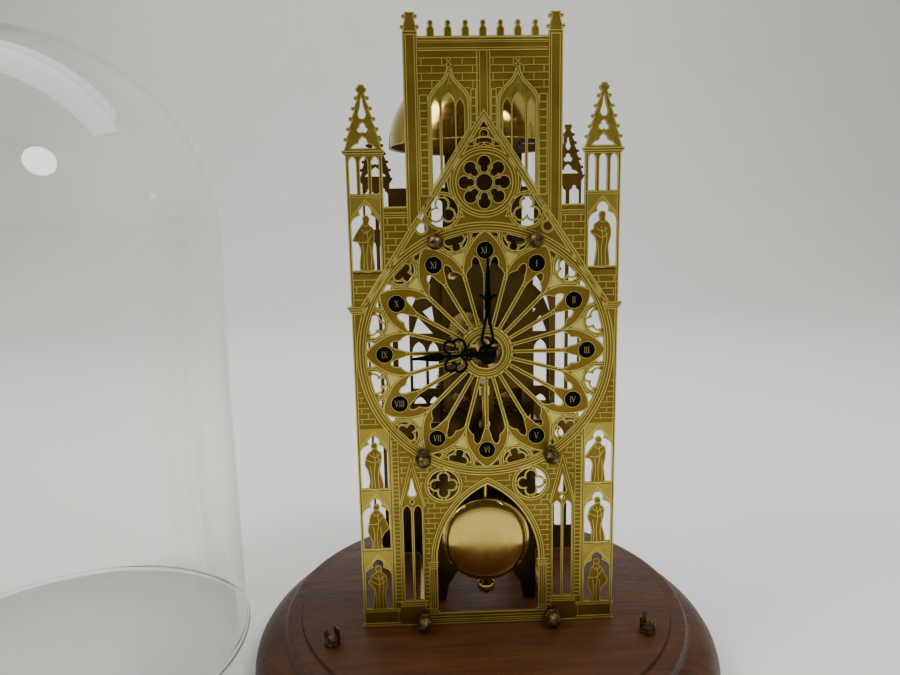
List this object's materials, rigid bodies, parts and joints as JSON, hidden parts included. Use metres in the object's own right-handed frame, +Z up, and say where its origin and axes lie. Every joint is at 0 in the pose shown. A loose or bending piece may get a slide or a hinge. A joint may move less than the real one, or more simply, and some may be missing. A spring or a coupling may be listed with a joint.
{
  "type": "skeleton clock",
  "caption": "Brass skeleton clock shaped like a cathedral front, with bell and pendulum, on a round wooden base, glass dome beside it.",
  "frame": {"origin": "centre of the wooden base's underside, on the surface it stands on", "axes": "+Z up, -Y towards the dial side, +X to the right as seen from the dial side"},
  "size_m": [0.481, 0.255, 0.3441],
  "materials": {
    "etched_brass": "satin, etched fields darker than the raised lines",
    "dark_brass": "aged, satin",
    "polished_brass": "polished",
    "cut_brass": "machined satin",
    "steel": "machined",
    "black_lacquer": "gloss black",
    "mahogany": "satin varnish, rubbed at the rim",
    "clear_glass": "clear, slightly green"
  },
  "bodies": {
    "frame": {"wooden_base": "mahogany", "facade_plate": "etched_brass", "rear_facade_plate": "dark_brass", "front_movement_plate": "dark_brass", "rear_movement_plate": "dark_brass", "pillar_top_left": "cut_brass", "pillar_top_right": "cut_brass", "pillar_mid_left": "cut_brass", "pillar_mid_right": "cut_brass", "pillar_foot_left": "cut_brass", "pillar_foot_right": "cut_brass", "acorn_nut_top_left": "dark_brass", "acorn_nut_top_right": "dark_brass", "acorn_nut_mid_left": "dark_brass", "acorn_nut_mid_right": "dark_brass", "acorn_nut_foot_left": "dark_brass", "acorn_nut_foot_right": "dark_brass", "movement_pillar_top_left": "cut_brass", "movement_pillar_top_right": "cut_brass", "movement_pillar_low_left": "cut_brass", "movement_pillar_low_right": "cut_brass", "bell_stand": "cut_brass", "bell": "polished_brass", "bell_nut": "polished_brass", "suspension_cock": "cut_brass", "suspension_spring": "steel", "minute_wheel_stud": "steel", "click_spring": "steel"},
    "screw_left": {"levelling_screw_left": "dark_brass"},
    "screw_right": {"levelling_screw_right": "dark_brass"},
    "screw_rear": {"levelling_screw_rear": "dark_brass"},
    "third": {"third_wheel": "cut_brass"},
    "centre": {"centre_wheel": "cut_brass"},
    "barrel": {"barrel_great_wheel": "cut_brass", "barrel_cover": "cut_brass", "mainspring": "steel"},
    "escape": {"escape_wheel": "cut_brass"},
    "minute": {"minute_hand": "black_lacquer", "cannon_pinion": "steel", "hand_nut": "black_lacquer"},
    "motion": {"minute_wheel": "cut_brass"},
    "hour": {"hour_hand": "black_lacquer", "hour_wheel": "cut_brass"},
    "pendulum": {"pendulum_rod": "polished_brass", "pendulum_bob": "polished_brass"},
    "rating": {"rating_nut": "polished_brass"},
    "pallets": {"pallet_anchor": "steel", "crutch": "cut_brass"},
    "hammer": {"hammer_arm": "steel", "hammer_head": "cut_brass"},
    "winding": {"winding_arbor": "steel", "ratchet_wheel": "cut_brass"},
    "click": {"click": "steel"},
    "dome": {"glass_dome": "clear_glass"}
  },
  "joints": [
    {"name": "third_turn", "type": "hinge", "parent": "frame", "child": "third", "pos_m": [0.01509, 0.0015, 0.17369], "axis": [0, 1, 0], "continuous": true},
    {"name": "centre_turn", "type": "hinge", "parent": "frame", "child": "centre", "pos_m": [0, 0.0056, 0.1785], "axis": [0, 1, 0], "continuous": true},
    {"name": "barrel_turn", "type": "hinge", "parent": "frame", "child": "barrel", "pos_m": [0, 0.014, 0.1513], "axis": [0, 1, 0], "continuous": true},
    {"name": "escape_turn", "type": "hinge", "parent": "frame", "child": "escape", "pos_m": [0.0103, -0.002, 0.1625], "axis": [0, 1, 0], "continuous": true},
    {"name": "minute_turn", "type": "hinge", "parent": "frame", "child": "minute", "pos_m": [0, -0.031, 0.1785], "axis": [0, 1, 0], "continuous": true},
    {"name": "motion_turn", "type": "hinge", "parent": "frame", "child": "motion", "pos_m": [-0.00849, -0.0096, 0.18699], "axis": [0, 1, 0], "continuous": true},
    {"name": "hour_turn", "type": "hinge", "parent": "frame", "child": "hour", "pos_m": [0, -0.031, 0.1785], "axis": [0, 1, 0], "continuous": true},
    {"name": "pendulum_swing", "type": "hinge", "parent": "frame", "child": "pendulum", "pos_m": [0, -0.017, 0.1625], "axis": [0, 1, 0], "range_deg": [-4.5, 4.5]},
    {"name": "pallet_rock", "type": "hinge", "parent": "frame", "child": "pallets", "pos_m": [0, -0.002, 0.1625], "axis": [0, 1, 0], "range_deg": [-4.5, 4.5]},
    {"name": "rating_turn", "type": "hinge", "parent": "pendulum", "child": "rating", "pos_m": [0, -0.017, 0.0471], "axis": [0, 0, 1], "range_deg": [-720, 720]},
    {"name": "hammer_swing", "type": "hinge", "parent": "frame", "child": "hammer", "pos_m": [0.0225, 0.014, 0.214], "axis": [0, 1, 0], "range_deg": [-8, 0], "stiffness_Nm_per_rad": 0.02, "springref_deg": 5.73},
    {"name": "winding_turn", "type": "hinge", "parent": "frame", "child": "winding", "pos_m": [0, 0.0534, 0.1513], "axis": [0, -1, 0], "range_deg": [0, 2160]},
    {"name": "click_lift", "type": "hinge", "parent": "frame", "child": "click", "pos_m": [0.0134, 0.0534, 0.1581], "axis": [0, 1, 0], "range_deg": [0, 8], "stiffness_Nm_per_rad": 0.002},
    {"name": "screw_left_turn", "type": "hinge", "parent": "frame", "child": "screw_left", "pos_m": [-0.0805, -0.044, 0.03], "axis": [0, 0, 1], "range_deg": [-720, 720]},
    {"name": "screw_right_turn", "type": "hinge", "parent": "frame", "child": "screw_right", "pos_m": [0.0805, -0.044, 0.03], "axis": [0, 0, 1], "range_deg": [-720, 720]},
    {"name": "screw_rear_turn", "type": "hinge", "parent": "frame", "child": "screw_rear", "pos_m": [0, 0.092, 0.03], "axis": [0, 0, 1], "range_deg": [-720, 720]},
    {"name": "dome_lift", "type": "slide", "parent": "frame", "child": "dome", "axis": [0, 0, 1], "range_m": [0, 0.4]}
  ],
  "couplings": [
    {"joint": "centre_turn", "follows": "third_turn", "ratio": -0.1},
    {"joint": "barrel_turn", "follows": "third_turn", "ratio": 0.011111},
    {"joint": "escape_turn", "follows": "third_turn", "ratio": -12.5},
    {"joint": "minute_turn", "follows": "third_turn", "ratio": -0.1},
    {"joint": "motion_turn", "follows": "third_turn", "ratio": 0.033333},
    {"joint": "hour_turn", "follows": "third_turn", "ratio": -0.0083333},
    {"joint": "pallet_rock", "follows": "pendulum_swing", "ratio": 1}
  ]
}
